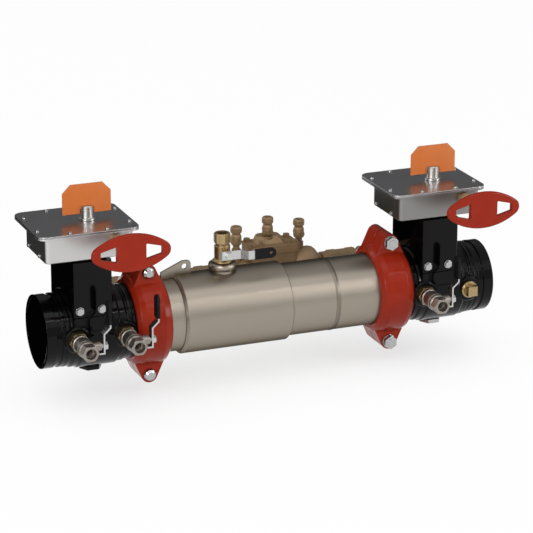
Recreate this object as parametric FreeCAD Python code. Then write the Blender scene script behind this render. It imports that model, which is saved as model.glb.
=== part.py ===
import FreeCAD, Part
import os
from math import atan, cos, hypot, pi, radians, sin, tan

# Backflow detector assembly in 4 inch grooved pipe, in millimetres.
# The origin is the centre of the inlet end face. +X runs along the flow and +Z is up.
V = FreeCAD.Vector
os.makedirs("parts", exist_ok=True)

# Run of pipe
pipe_diameter = 114.3
groove_from_end = 15.9
groove_width = 8.7
groove_depth = 2.1
valve_length = 168.0
pipe_end_gap = 3.0
tube_length = 400.0
tube_wall = 3.05

# Fits
running_fit = 0.05
loose_fit = 0.3

# Valve casting
casting_over_pipe = 3.35
seat_housing_over_pipe = 4.35
bore_under_pipe = 12.7
seat_depth = 1.2
seat_width = 24.0
port_pitch = 76.0
port_boss_radius = 20.5
port_over_pipe = 4.85
port_rim = 2.0
nipple_thread = 9.5
neck_radius = 15.0
neck_over_pipe = 26.85
plug_over_pipe = 4.85
plug_across = 31.0
plug_height = 6.0
plug_boss_radius = 15.5
plug_thread_radius = 12.5
plug_thread_length = 4.0

# Disc and stem
stem_radius = 8.0
bush_wall = 3.0
disc_rim = 6.0
disc_middle = 15.0
disc_hub_radius = 12.5

# Operator bracket and box
bracket_left = 42.0
bracket_right = 19.0
bracket_over_pipe = 1.85
bracket_wall = 3.0
bracket_bottom = 34.0
bracket_plate = 4.0
bracket_fold = 4.0
bracket_bolt_z = 45.0
bracket_bolt_radius = 4.0
bracket_bolt_depth = 12.0
pad_above_bolt = 8.0
box_over_pipe = 67.85
box_left = 85.0
box_right = 53.0
box_front = 62.0
box_back = 41.0
box_wall = 3.0
box_corner = 8.0
flange_over_box = 38.0
flange_thickness = 2.5
lid_thickness = 3.3
lid_left = 96.0
lid_right = 64.0
lid_front = 66.5
lid_back = 71.5
lid_corner = 16.0
screw_radius = 2.0
screw_head_radius = 3.4
lid_screw_inset_x = 7.9
lid_screw_inset_y = 33.8
lid_screw_middle = 8.5
side_screw_over_box = 5.0
side_screw_front = 29.6
side_screw_back = 26.7
switch_length = 28.0
switch_width = 16.0
switch_height = 18.0

# Worm gear
wheel_teeth = 24
wheel_pitch_radius = 17.0
worm_pitch_radius = 8.0
worm_length = 34.0
wheel_face = 10.0
worm_over_box = 27.0
backlash = 0.8
pressure_angle = 20.0
worm_shaft_radius = 5.0
worm_bush_wall = 3.0

# Crank handle and flag
handle_face = 134.5
handle_thickness = 8.0
handle_shoulder = 55.9
handle_blunt = 11.0
handle_half_height = 29.2
window_inner = 22.5
window_outer = 48.0
window_inner_half = 12.5
window_outer_half = 6.0
handle_hub_radius = 10.0
handle_hub_length = 14.0
handle_socket = 4.0
flag_thickness = 2.0
flag_half_width = 38.2
flag_top_half_width = 25.3
flag_over_box = 53.9
shoulder_over_box = 86.7
flag_top_over_box = 99.9
hub_over_box = 66.0

# Grooved couplings
coupling_width = 56.0
coupling_over_pipe = 14.85
bolt_over_pipe = 25.15
coupling_pad_radius = 13.0
coupling_pad_depth = 30.0
coupling_bolt_radius = 6.0
coupling_split = 1.0
coupling_nut_across = 19.0
gasket_height = 7.0

# Access sleeve and check modules, placed from the tube's inlet end
sleeve_from_tube = 49.5
sleeve_length = 176.5
sleeve_wall = 5.05
sleeve_bevel = 4.0
seal_from_end = 10.0
seal_width = 4.0
seal_depth = 2.5
weld_from_tube = 303.0
weld_width = 6.0
weld_height = 0.5
seat_from_tube = 61.0
check_pitch = 113.0
seat_thickness = 12.0
seat_bore_radius = 31.0
clapper_radius = 36.0
clapper_thickness = 6.0
hinge_above_axis = 42.0
hinge_beyond_seat = 10.0
hinge_pin_radius = 2.5
hinge_eye_radius = 4.5
ear_inside = 14.0
ear_outside = 18.0
knuckle_inside = 9.0
spring_coils = 7
spring_wire = 2.2

# Ball valves
ball_radius = 10.0
ball_bore_radius = 6.0
valve_spindle_radius = 4.0
spindle_boss_radius = 7.5
spindle_boss_length = 24.0
lever_thickness = 2.5
lever_width = 14.0
lever_jog = 10.0
lever_reach = 70.0
grip_length = 36.0
grip_wall = 1.2
grip_hole_radius = 3.2
mouth_radius = 8.3
mouth_depth = 12.0
mouth_across = 23.0
test_valve_length = 54.0
test_ball_from_end = 24.5
nipple_across = 27.0
nipple_hex = 10.0
nipple_thread_length = 6.0
vent_from_tube = 130.3
vent_boss_radius = 22.0
vent_boss_over_pipe = 17.85
vent_boss_wall = 14.0
vent_port_radius = 8.0
vent_valve_length = 47.0
vent_ball_from_end = 18.0
vent_lever_reach = 74.5
lug_from_tube = 30.6
lug_length = 49.0
lug_over_pipe = 25.55
lug_thickness = 4.0
lug_hole_radius = 4.5
plug_head_side = 16.0

# Bypass
bypass_over_pipe = 82.85
bypass_pipe_radius = 15.0
bypass_pipe_wall = 3.4
elbow_reach = 24.0
elbow_radius = 19.5
pipe_engagement = 8.0
bypass_check_to_outlet = 141.5
bypass_check_length = 81.0
bypass_neck_length = 46.5
bypass_inlet_neck = 32.0
bypass_half_width = 23.0
union_across = 39.0
union_lengths = (12.0, 16.0, 17.5, 15.5)
union_to_elbow = 8.0
bypass_cover_bottom = 44.0
bypass_cover_plate = 5.0
bypass_cover_top = 60.0
cover_screw_radius = 3.0
cock_from_outlet = 45.4
cock_pitch = 54.4
cock_seat_radius = 7.5
cock_top = 82.0
cock_middle_top = 92.0

# Values that follow
pipe_radius = pipe_diameter / 2
casting_radius = pipe_radius + casting_over_pipe
seat_housing_radius = pipe_radius + seat_housing_over_pipe
valve_bore = pipe_diameter - bore_under_pipe
port_face = pipe_radius + port_over_pipe
neck_top = pipe_radius + neck_over_pipe
plug_face = pipe_radius + plug_over_pipe
bracket_half_depth = pipe_radius + bracket_over_pipe
box_bottom = pipe_radius + box_over_pipe
flange_bottom = box_bottom + flange_over_box
side_screw_z = box_bottom + side_screw_over_box
worm_z = box_bottom + worm_over_box
flag_bottom = box_bottom + flag_over_box
flag_shoulder = box_bottom + shoulder_over_box
flag_top = box_bottom + flag_top_over_box
hub_top = box_bottom + hub_over_box
coupling_radius = pipe_radius + coupling_over_pipe
coupling_bolt_z = pipe_radius + bolt_over_pipe
vent_boss_top = pipe_radius + vent_boss_over_pipe
lug_top = pipe_radius + lug_over_pipe
bypass_y = pipe_radius + bypass_over_pipe
stem_inlet = valve_length / 2
tube_start = valve_length + pipe_end_gap
tube_end = tube_start + tube_length
outlet_start = tube_end + pipe_end_gap
stem_outlet = outlet_start + valve_length / 2
coupling_inlet = valve_length + pipe_end_gap / 2
coupling_outlet = tube_end + pipe_end_gap / 2
groove_radius = pipe_radius - groove_depth
bore_radius = valve_bore / 2
disc_radius = bore_radius - seat_depth - loose_fit
bush_radius = stem_radius + running_fit + bush_wall
lid_bottom = flange_bottom + flange_thickness
lid_top = lid_bottom + lid_thickness
worm_x = wheel_pitch_radius + worm_pitch_radius
tooth_module = 2 * wheel_pitch_radius / wheel_teeth
worm_lead = pi * tooth_module
tube_bore_radius = pipe_radius - tube_wall
sleeve_radius = pipe_radius + loose_fit / 2 + sleeve_wall
sleeve_start = tube_start + sleeve_from_tube
sleeve_end = sleeve_start + sleeve_length
seal_places = (sleeve_start + seal_from_end, sleeve_end - seal_from_end)
weld_x = tube_start + weld_from_tube
first_seat = tube_start + seat_from_tube
vent_x = tube_start + vent_from_tube
lug_left = tube_start + lug_from_tube
lug_right = lug_left + lug_length
gasket_radius = pipe_radius + gasket_height
worm_bush_radius = worm_shaft_radius + running_fit + worm_bush_wall
side_screw_places = (-side_screw_front, side_screw_back)
half_pitch = port_pitch / 2
bypass_in = stem_inlet + half_pitch
bypass_out = stem_outlet - half_pitch
bypass_check_right = bypass_out - bypass_check_to_outlet
bypass_check_left = bypass_check_right - bypass_check_length
cock_middle = bypass_check_right - cock_from_outlet
cock_places = (cock_middle - cock_pitch, cock_middle, cock_middle + cock_pitch)

AXES = {"x": (V(1, 0, 0), V(0, 1, 0)), "y": (V(0, 1, 0), V(0, 0, 1)), "z": (V(0, 0, 1), V(1, 0, 0))}


def block(x0, x1, y0, y1, z0, z1):
    """Box between two corners."""
    return Part.makeBox(x1 - x0, y1 - y0, z1 - z0, V(x0, y0, z0))


def rod(axis, at, radius, start, end):
    """Cylinder along an axis through the point at, from start to end along it."""
    along = AXES[axis][0]
    return Part.makeCylinder(radius, end - start, V(*at) + along * start, along)


def turned(axis, at, outline):
    """Solid of revolution of (along, radius) points about an axis through the point at."""
    along, out = AXES[axis]
    points = [V(*at) + along * a + out * r for a, r in outline]
    return Part.Face(Part.makePolygon(points + points[:1])).revolve(V(*at), along, 360)


def hexagon(axis, at, across, start, end):
    """Hexagonal bar along an axis, given by its width across the flats."""
    along, out = AXES[axis]
    side = along.cross(out)
    corner = across / 2 / cos(radians(30))
    turns = [radians(60 * k) for k in range(6)]
    points = [V(*at) + along * start + out * (corner * cos(t)) + side * (corner * sin(t)) for t in turns]
    return Part.Face(Part.makePolygon(points + points[:1])).extrude(along * (end - start))


def sheet(points, thickness):
    """Flat plate: a closed polygon of 3D points pushed out by a thickness vector."""
    points = [V(*p) for p in points]
    return Part.Face(Part.makePolygon(points + points[:1])).extrude(V(*thickness))


def rounded_plate(x0, x1, y0, y1, z0, z1, corner):
    """Box with its four upright edges rounded."""
    plate = block(x0, x1, y0, y1, z0, z1)
    upright = [e for e in plate.Edges if abs(e.Vertexes[0].Z - e.Vertexes[1].Z) > (z1 - z0) / 2]
    return plate.makeFillet(corner, upright)


def bent_strip(path, thickness):
    """Outline of a strip of even thickness that follows an open path of 2D points."""
    left, right = [], []
    for k, (x, y) in enumerate(path):
        before = path[k - 1] if k else path[0]
        after = path[k + 1] if k + 1 < len(path) else path[-1]
        first = (x - before[0], y - before[1]) if k else (after[0] - x, after[1] - y)
        second = (after[0] - x, after[1] - y) if k + 1 < len(path) else first
        n1 = (-first[1] / hypot(*first), first[0] / hypot(*first))
        n2 = (-second[1] / hypot(*second), second[0] / hypot(*second))
        scale = thickness / 2 / (1 + n1[0] * n2[0] + n1[1] * n2[1])
        dx, dy = (n1[0] + n2[0]) * scale, (n1[1] + n2[1]) * scale
        left.append((x + dx, y + dy))
        right.append((x - dx, y - dy))
    return left + right[::-1]


def fused(first, *rest):
    """Union of solids with the seams between coplanar faces taken out."""
    return first.fuse(list(rest)).removeSplitter() if rest else first


def save(name, *solids):
    """Write one node from its solids."""
    shape = Part.makeCompound([s for solid in solids for s in solid.Solids])
    shape.exportStep("parts/" + name + ".step")


# Valve casting: grooved ends, ribbed shoulders, neck, bracket pads, side ports and bottom boss
def pipe_end_outline(length, radius, side):
    """Outer (along, radius) points from the end face of a grooved end inwards; side is -1 or 1."""
    end = length / 2
    points = [(end, pipe_radius), (end - groove_from_end, pipe_radius)]
    points += [(end - groove_from_end, groove_radius), (end - groove_from_end - groove_width, groove_radius)]
    bead = end - groove_from_end - groove_width
    ridges = [(0, 0), (4.5, 0), (5.3, -0.9), (7, -0.9), (8, 0.5), (12, 0.5), (13, -0.6), (15, -0.6)]
    points += [(bead - a, pipe_radius + rise) for a, rise in ridges]
    points += [(bead - 18.5, radius - 1), (bead - 27, radius - 1), (bead - 30, seat_housing_radius)]
    return [(side * a, r) for a, r in points]


def port_boss(x, side):
    """Round boss of a side port with a softened rim; side is -1 for the front and 1 for the rear."""
    outline = [(0, 0), (0, port_boss_radius), (port_face - port_rim, port_boss_radius),
               (port_face, port_boss_radius - port_rim), (port_face, 0)]
    return turned("y", (x, 0, 0), [(side * a, r) for a, r in outline])


def valve_casting(stem_x, rear_port):
    """Ductile iron body of one butterfly valve; rear_port is -1 or 1 for the port to the bypass."""
    centre = (stem_x, 0, 0)
    left = pipe_end_outline(valve_length, casting_radius, -1)
    right = pipe_end_outline(valve_length, casting_radius, 1)
    half = valve_length / 2
    outline = [(-half, bore_radius)] + left + right[::-1] + [(half, bore_radius)]
    seat = [(half, bore_radius), (seat_width / 2 + 3, bore_radius), (seat_width / 2, bore_radius - seat_depth)]
    outline += seat[1:] + [(-a, r) for a, r in seat[1:][::-1]]
    body = turned("x", centre, outline)
    inside = rod("x", centre, bore_radius, -half, half)
    pad_left, pad_right = stem_x - bracket_left, stem_x + bracket_right
    pad_face = bracket_half_depth - bracket_wall
    additions = [rod("z", centre, neck_radius, 0, neck_top), rod("z", centre, plug_boss_radius, -plug_face, 0)]
    for side in (-1, 1):
        y0, y1 = sorted((0, side * pad_face))
        additions.append(block(pad_left, pad_right, y0, y1, bracket_bottom - 4, bracket_bolt_z + pad_above_bolt))
        y0, y1 = sorted((0, side * (bracket_half_depth + 1)))
        ledge = block(pad_left, pad_right, y0, y1, bracket_bottom - 22, bracket_bottom - loose_fit)
        additions.append(ledge)
        additions.append(port_boss(stem_x + side * half_pitch, -1))
    additions.append(port_boss(stem_x + rear_port * half_pitch, 1))
    beside_coupling = half + pipe_end_gap / 2 - coupling_width / 2 - loose_fit
    room = block(stem_x - beside_coupling, stem_x + beside_coupling, -port_face, port_face, -plug_face, neck_top)
    extras = additions[0].fuse(additions[1:]).cut(inside).common(room)
    casting = fused(body, extras)
    holes = [rod("z", centre, bush_radius, 0, neck_top + 1), rod("z", centre, bush_radius, -plug_face - 1, 0)]
    holes.append(rod("z", centre, plug_thread_radius, -plug_face - 1, -plug_face + plug_thread_length))
    for side in (-1, 1):
        holes.append(rod("y", (stem_x + side * half_pitch, 0, 0), nipple_thread, -port_face - 1, 0))
        for x in bracket_bolt_places(stem_x):
            start, end = sorted((side * (pad_face - bracket_bolt_depth), side * (pad_face + 1)))
            holes.append(rod("y", (x, 0, bracket_bolt_z), bracket_bolt_radius, start, end))
    holes.append(rod("y", (stem_x + rear_port * half_pitch, 0, 0), bypass_pipe_radius, 30, port_face + 1))
    return casting.cut(holes)


def bracket_bolt_places(stem_x):
    """X of the two bolts in a bracket's front or back panel."""
    return (stem_x - bracket_left + 9, stem_x - bracket_left + 43.6)


for name, stem_x, rear_port in (("inlet", stem_inlet, 1), ("outlet", stem_outlet, -1)):
    save(name + "_valve_body", valve_casting(stem_x, rear_port))


# Bottom plug, stem bushings, disc and stem
def bottom_plug(stem_x):
    """Hexagonal plug under the stem."""
    head = hexagon("z", (stem_x, 0, 0), plug_across, -plug_face - plug_height, -plug_face)
    cap = turned("z", (stem_x, 0, -plug_face - plug_height),
                 [(0, 0), (0, plug_across / 2 - 0.5), (-1, plug_across / 2 - 3), (-1, 0)])
    thread = rod("z", (stem_x, 0, 0), plug_thread_radius, -plug_face, -plug_face + plug_thread_length)
    return fused(head, cap, thread)


def stem_bushings(stem_x):
    """Upper and lower bronze bushing of one stem."""
    inner = stem_radius + running_fit
    upper = turned("z", (stem_x, 0, 0), [(bore_radius + 2, inner), (bore_radius + 2, bush_radius),
                                        (neck_top, bush_radius), (neck_top, bush_radius + 3),
                                        (neck_top + 2, bush_radius + 3), (neck_top + 2, inner)])
    foot = -plug_face + plug_thread_length
    lower = turned("z", (stem_x, 0, 0), [(foot, inner), (foot, bush_radius),
                                        (-bore_radius - 1, bush_radius), (-bore_radius - 1, inner)])
    return [upper, lower]


def valve_disc(stem_x):
    """Closing disc, drawn open, with the hub that the stem passes through."""
    rim, middle = disc_rim / 2, disc_middle / 2
    lens = turned("y", (stem_x, 0, 0), [(-middle, 0), (-middle + 1, disc_radius * 0.45), (-rim, disc_radius * 0.9),
                                       (-rim + 1, disc_radius), (rim - 1, disc_radius),
                                       (rim, disc_radius * 0.9), (middle - 1, disc_radius * 0.45), (middle, 0)])
    hub = rod("z", (stem_x, 0, 0), disc_hub_radius, -disc_radius, disc_radius)
    hub = hub.common(Part.makeSphere(disc_radius, V(stem_x, 0, 0)))
    return fused(lens, hub).cut(rod("z", (stem_x, 0, 0), stem_radius, -disc_radius - 1, disc_radius + 1))


def stem_and_hub(stem_x):
    """Stem from the lower bushing to above the lid, and the slotted hub clamped on its top."""
    stem = rod("z", (stem_x, 0, 0), stem_radius, -plug_face + plug_thread_length + loose_fit, hub_top - 6)
    foot = lid_top + loose_fit
    hub = turned("z", (stem_x, 0, 0), [(foot, 0), (foot, 13.5), (foot + 3.5, 13.5), (foot + 4, 10.5),
                                      (hub_top - 1, 9.5), (hub_top, 8.5), (hub_top, 0)])
    hub = hub.cut(rod("z", (stem_x, 0, 0), stem_radius, foot - 1, hub_top - 6))
    slot = flag_thickness / 2
    return stem, hub.cut(block(stem_x - 20, stem_x + 20, -slot, slot, hub_top - 5, hub_top + 1))


def flag(stem_x):
    """Position flag that straddles the hub, its tab in the hub's slot."""
    half, top, hub_side = flag_half_width, flag_top_half_width, 11.0
    side = [(half, flag_bottom), (half, flag_shoulder), (top, flag_top)]
    points = side + [(-x, z) for x, z in side[::-1]]
    points += [(-hub_side, flag_bottom), (-hub_side, hub_top - 5), (hub_side, hub_top - 5), (hub_side, flag_bottom)]
    return sheet([(stem_x + x, -flag_thickness / 2, z) for x, z in points], (0, flag_thickness, 0))


def worm_wheel(stem_x):
    """Wheel on the stem, each gap between teeth cut along the worm's lead angle."""
    outer = wheel_pitch_radius + tooth_module
    root = wheel_pitch_radius - 1.25 * tooth_module
    blank = rod("z", (0, 0, 0), outer, -wheel_face / 2, wheel_face / 2)
    blank = fused(blank, rod("z", (0, 0, 0), 12, -wheel_face / 2 - 2, wheel_face / 2 + 2))
    slope = tan(radians(pressure_angle))
    half = worm_lead / 4 + backlash / 2
    reach = wheel_face / 2 + 0.5
    lean = reach * worm_lead / (2 * pi * worm_pitch_radius)
    wide = half + (outer + 0.5 - wheel_pitch_radius) * slope
    narrow = half - (wheel_pitch_radius - root) * slope
    corners = [(root, -narrow), (outer + 0.5, -wide), (outer + 0.5, wide), (root, narrow)]
    gap = sheet([(x, y - lean, -reach) for x, y in corners], (0, 2 * lean, 2 * reach))
    gaps = []
    for tooth in range(wheel_teeth):
        copy = gap.copy()
        copy.rotate(V(0, 0, 0), V(0, 0, 1), tooth * 360 / wheel_teeth)
        gaps.append(copy)
    wheel = blank.cut(gaps).cut(rod("z", (0, 0, 0), stem_radius, -reach - 5, reach + 5))
    wheel.translate(V(stem_x, 0, worm_z))
    return wheel


def worm(stem_x):
    """Right-hand worm and its shaft, out through the front of the box to the handle."""
    slope = tan(radians(pressure_angle))
    tip, base = worm_pitch_radius + tooth_module, worm_pitch_radius - 1.5 * tooth_module
    half = worm_lead / 4
    turns = int(worm_length / worm_lead)
    start = -turns * worm_lead / 2 - (worm_lead / 2 if turns % 2 == 0 else 0)
    helix = Part.makeHelix(worm_lead, turns * worm_lead, worm_pitch_radius)
    helix.translate(V(0, 0, start))
    at_tip, at_base = half - tooth_module * slope, half + 1.5 * tooth_module * slope
    corners = [V(base, 0, start - at_base), V(tip, 0, start - at_tip), V(tip, 0, start + at_tip),
               V(base, 0, start + at_base)]
    thread = Part.Wire(helix).makePipeShell([Part.makePolygon(corners + corners[:1])], True, True)
    root = worm_pitch_radius - 1.25 * tooth_module
    core = Part.makeCylinder(root, worm_length + 2 * worm_lead, V(0, 0, -worm_length / 2 - worm_lead))
    front_end, back_end = -handle_face + handle_socket, box_back - 4
    shaft = Part.makeCylinder(worm_shaft_radius, back_end - front_end, V(0, 0, front_end))
    whole = Part.Solid(Part.Shell(thread.Faces)) if not thread.Solids else thread.Solids[0]
    whole = whole.fuse([core, shaft])
    whole.rotate(V(0, 0, 0), V(1, 0, 0), -90)
    whole.translate(V(stem_x + worm_x, 0, worm_z))
    return whole


def crank_handle(stem_x):
    """Flat lens-shaped handle with two trapezoid windows and a hub on its back."""
    high, blunt, shoulder = handle_half_height, handle_blunt, handle_shoulder
    half = shoulder + blunt * tan(pi / 4 - atan((high - blunt) / shoulder))
    back = -handle_face + handle_thickness

    def at(x, z):
        """Point on the handle's front face, counted from the shaft's centre."""
        return V(stem_x + worm_x + x, -handle_face, worm_z + z)

    edges = [Part.Arc(at(-shoulder, blunt), at(0, high), at(shoulder, blunt)).toShape(),
             Part.Arc(at(shoulder, blunt), at(half, 0), at(shoulder, -blunt)).toShape(),
             Part.Arc(at(shoulder, -blunt), at(0, -high), at(-shoulder, -blunt)).toShape(),
             Part.Arc(at(-shoulder, -blunt), at(-half, 0), at(-shoulder, blunt)).toShape()]
    plate = Part.Face(Part.Wire(edges)).extrude(V(0, handle_thickness, 0))
    rims = [e for e in plate.Edges if abs(e.BoundBox.YMax - e.BoundBox.YMin) < 0.01]
    plate = plate.makeFillet(handle_thickness * 0.36, rims)
    windows = []
    for side in (-1, 1):
        corners = [(window_inner, -window_inner_half), (window_outer, -window_outer_half),
                   (window_outer, window_outer_half), (window_inner, window_inner_half)]
        window = sheet([tuple(at(side * x, z) - V(0, 1, 0)) for x, z in corners], (0, handle_thickness + 2, 0))
        upright = [e for e in window.Edges if e.BoundBox.YLength > handle_thickness]
        windows.append(window.makeFillet(1.5, upright))
    hub_end = back + handle_hub_length
    hub = rod("y", (stem_x + worm_x, 0, worm_z), handle_hub_radius, back, hub_end)
    bore = rod("y", (stem_x + worm_x, 0, worm_z), worm_shaft_radius, -handle_face + handle_socket, hub_end + 1)
    return fused(plate.cut(windows), hub).cut(bore)


for name, stem_x in (("inlet", stem_inlet), ("outlet", stem_outlet)):
    save(name + "_bottom_plug", bottom_plug(stem_x))
    save(name + "_disc", valve_disc(stem_x))
    save(name + "_stem", *stem_and_hub(stem_x))
    save(name + "_flag", flag(stem_x))
    save(name + "_worm_wheel", worm_wheel(stem_x))
    save(name + "_worm", worm(stem_x))
    save(name + "_crank_handle", crank_handle(stem_x))
save("stem_bushings", *stem_bushings(stem_inlet), *stem_bushings(stem_outlet))


# Operator bracket, gear box, lid, switches, bushings and fasteners
def bracket(stem_x):
    """Folded steel tower between the casting's pads and the gear box."""
    left, right, deep = stem_x - bracket_left, stem_x + bracket_right, bracket_half_depth
    top = box_bottom - bracket_plate
    wall = bracket_wall
    tower = block(left, right, -deep, deep, bracket_bottom, top)
    tower = tower.makeFillet(bracket_fold, [e for e in tower.Edges if e.BoundBox.ZLength > 50])
    tower = tower.cut(block(left + wall, right - wall, -deep + wall, deep - wall, bracket_bottom - 1, top - wall))
    saddle = rod("x", (stem_x, 0, 0), seat_housing_radius + loose_fit, -bracket_left - 1, bracket_right + 1)
    side = deep - wall
    pad_top = bracket_bolt_z + pad_above_bolt + loose_fit
    passage = block(left - 1, right + 1, -side, side, bracket_bottom - 1, pad_top)
    tower = tower.cut([saddle.common(block(left - 1, right + 1, -side, side, 0, top)), passage])
    plate = block(left + 5, right - 5, -deep + 14, deep - 14, top, box_bottom)
    tower = fused(tower, plate)
    holes = [rod("z", (stem_x, 0, 0), stem_radius + 1, top - 10, box_bottom + 1)]
    for x in bracket_bolt_places(stem_x):
        holes.append(rod("y", (x, 0, bracket_bolt_z), bracket_bolt_radius, -deep - 1, deep + 1))
    return tower.cut(holes)


def gear_box(stem_x):
    """Drawn metal box with rounded corners and a wide flange for the lid."""
    x0, x1 = stem_x - box_left, stem_x + box_right
    shell = rounded_plate(x0, x1, -box_front, box_back, box_bottom, flange_bottom, box_corner)
    floor_rim = [e for e in shell.Edges if e.BoundBox.ZMax < box_bottom + 0.01]
    shell = shell.makeFillet(2.5, floor_rim)
    wall = box_wall
    hollow = rounded_plate(x0 + wall, x1 - wall, -box_front + wall, box_back - wall, box_bottom + wall,
                           lid_bottom + 1, box_corner - wall)
    flange = rounded_plate(stem_x - lid_left, stem_x + lid_right, -lid_front, lid_back, flange_bottom,
                           lid_bottom, lid_corner)
    mouth = rounded_plate(x0 + 6, x1 - 6, -box_front + 9, box_back - 6, flange_bottom - 1, lid_bottom + 1, 4)
    box = fused(shell.cut(hollow), flange.cut(mouth))
    holes = [rod("z", (stem_x, 0, 0), stem_radius + 1, box_bottom - 1, box_bottom + wall + 1)]
    holes.append(rod("y", (stem_x + worm_x, 0, worm_z), worm_bush_radius, -box_front - 1, -box_front + wall + 1))
    holes.append(rod("y", (stem_x + worm_x, 0, worm_z), worm_bush_radius, box_back - wall - 1, box_back - 1))
    holes += [rod("z", (x, y, 0), screw_radius, flange_bottom - 0.5, lid_bottom + 1)
              for x, y in lid_screw_places(stem_x)]
    holes += [rod("x", (x0, y, side_screw_z), screw_radius, -1, wall + 1) for y in side_screw_places]
    return box.cut(holes)


def lid_screw_places(stem_x):
    """Centres of the eight lid screws."""
    inset, middle = lid_screw_inset_x, (lid_right - lid_left) / 2
    span = (lid_left + lid_right) * 0.18
    places = [(x, y) for x in (inset - lid_left, lid_right - inset)
              for y in (lid_screw_inset_y - lid_front, lid_back - lid_screw_inset_y)]
    places += [(x, y) for x in (middle - span, middle + span)
               for y in (lid_screw_middle - lid_front, lid_back - lid_screw_middle)]
    return [(stem_x + x, y) for x, y in places]


def lid(stem_x):
    """Flat lid with rounded corners and a softened top edge."""
    plate = rounded_plate(stem_x - lid_left, stem_x + lid_right, -lid_front, lid_back, lid_bottom, lid_top,
                          lid_corner)
    plate = plate.makeFillet(1, [e for e in plate.Edges if e.BoundBox.ZMin > lid_top - 0.01])
    holes = [rod("z", (x, y, 0), screw_radius, lid_bottom - 1, lid_top + 1) for x, y in lid_screw_places(stem_x)]
    holes.append(rod("z", (stem_x, 0, 0), stem_radius + 0.5, lid_bottom - 1, lid_top + 1))
    return plate.cut(holes)


def operator_screws(stem_x):
    """Lid screws and the two screws in the box's left face."""
    head = [(0, screw_head_radius), (1.2, screw_head_radius), (2.2, screw_radius), (2.2, 0)]
    screws = []
    for x, y in lid_screw_places(stem_x):
        points = [(a + lid_top, r) for a, r in head]
        screws.append(turned("z", (x, y, 0), [(flange_bottom, 0), (flange_bottom, screw_radius),
                                             (lid_top, screw_radius)] + points))
    for y in side_screw_places:
        points = [(-a, r) for a, r in head]
        shank = [(box_wall + 2, 0), (box_wall + 2, screw_radius), (0, screw_radius)]
        screws.append(turned("x", (stem_x - box_left, y, side_screw_z), shank + points))
    return screws


def bracket_bolts(stem_x):
    """Hexagon bolts that hold the bracket's panels to the casting's pads."""
    bolts = []
    for x in bracket_bolt_places(stem_x):
        for side in (-1, 1):
            face = bracket_half_depth
            head = hexagon("y", (x, 0, bracket_bolt_z), 10, *sorted((side * face, side * (face + 4.5))))
            inner = face - bracket_wall - bracket_bolt_depth
            shank = rod("y", (x, 0, bracket_bolt_z), bracket_bolt_radius, *sorted((side * inner, side * face)))
            washer = rod("y", (x, 0, bracket_bolt_z), 6.5, *sorted((side * face, side * (face + 1))))
            bolts.append(fused(head, shank, washer))
    return bolts


def worm_bushings(stem_x):
    """Front and rear bushing of the worm shaft."""
    centre = (stem_x + worm_x, 0, worm_z)
    inner = worm_shaft_radius + running_fit
    front = turned("y", centre, [(-box_front - 10, inner), (-box_front - 10, worm_bush_radius + 1.5),
                                (-box_front, worm_bush_radius + 1.5), (-box_front, worm_bush_radius),
                                (-box_front + 10, worm_bush_radius), (-box_front + 10, inner)])
    rear = turned("y", centre, [(box_back - 12, inner), (box_back - 12, worm_bush_radius + 2),
                               (box_back - box_wall, worm_bush_radius + 2), (box_back - box_wall, worm_bush_radius),
                               (box_back - 1, worm_bush_radius), (box_back - 1, inner)])
    return [front, rear]


def tamper_switches(stem_x):
    """Two supervisory switches on the floor of the box, each with a roller arm."""
    switches = []
    for y in (-22, 6):
        x, floor = stem_x - box_left + box_wall + 10, box_bottom + box_wall
        case = block(x, x + switch_length, y, y + switch_width, floor, floor + switch_height)
        arm = block(x + 6, x + switch_length + 6, y + 5, y + 11, floor + switch_height, floor + switch_height + 1.5)
        roller = rod("y", (x + switch_length + 5, 0, floor + switch_height + 2.5), 3, y + 5, y + 11)
        switches.append(fused(case, arm, roller))
    return switches


for name, stem_x in (("inlet", stem_inlet), ("outlet", stem_outlet)):
    save(name + "_bracket", bracket(stem_x))
    save(name + "_gear_box", gear_box(stem_x))
    save(name + "_lid", lid(stem_x))
both = (stem_inlet, stem_outlet)
save("operator_screws", *[s for x in both for s in operator_screws(x)])
save("bracket_bolts", *[s for x in both for s in bracket_bolts(x)])
save("worm_bushings", *[s for x in both for s in worm_bushings(x)])
save("tamper_switches", *[s for x in both for s in tamper_switches(x)])


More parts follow.
